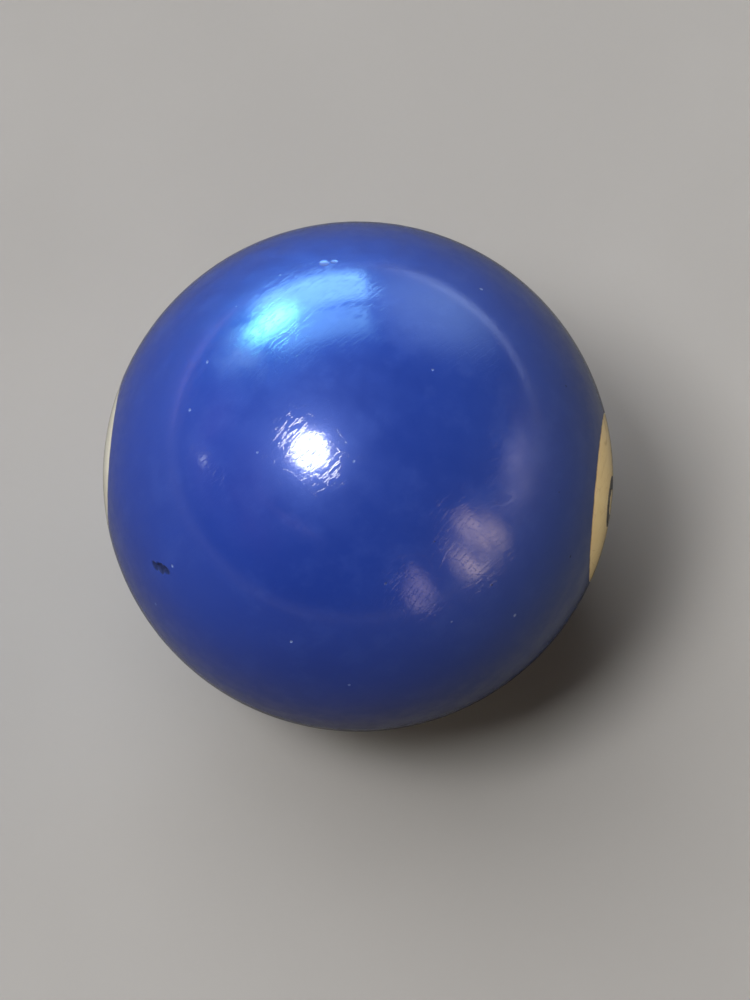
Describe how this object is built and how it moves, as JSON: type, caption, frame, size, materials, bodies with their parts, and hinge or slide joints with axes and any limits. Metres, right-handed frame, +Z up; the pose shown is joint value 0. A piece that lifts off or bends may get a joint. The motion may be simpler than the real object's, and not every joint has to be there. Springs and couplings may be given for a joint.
{
  "type": "pool ball",
  "caption": "Solid-colour pool ball: a hard blue resin sphere with a cream number disc let into each end of one diameter and a dark numeral in each disc.",
  "frame": {"origin": "centre of the ball", "axes": "+X through the centre of one number disc and -X through the other, +Z up from the surface the ball rests on"},
  "size_m": [0.0572, 0.0572, 0.0572],
  "materials": {
    "blue_resin": "polished",
    "cream_resin": "gloss",
    "dark_resin": "gloss"
  },
  "bodies": {
    "root": {"ball_body": "blue_resin", "number_disc_right": "cream_resin", "number_disc_left": "cream_resin", "numeral_right": "dark_resin", "numeral_left": "dark_resin"}
  },
  "joints": []
}
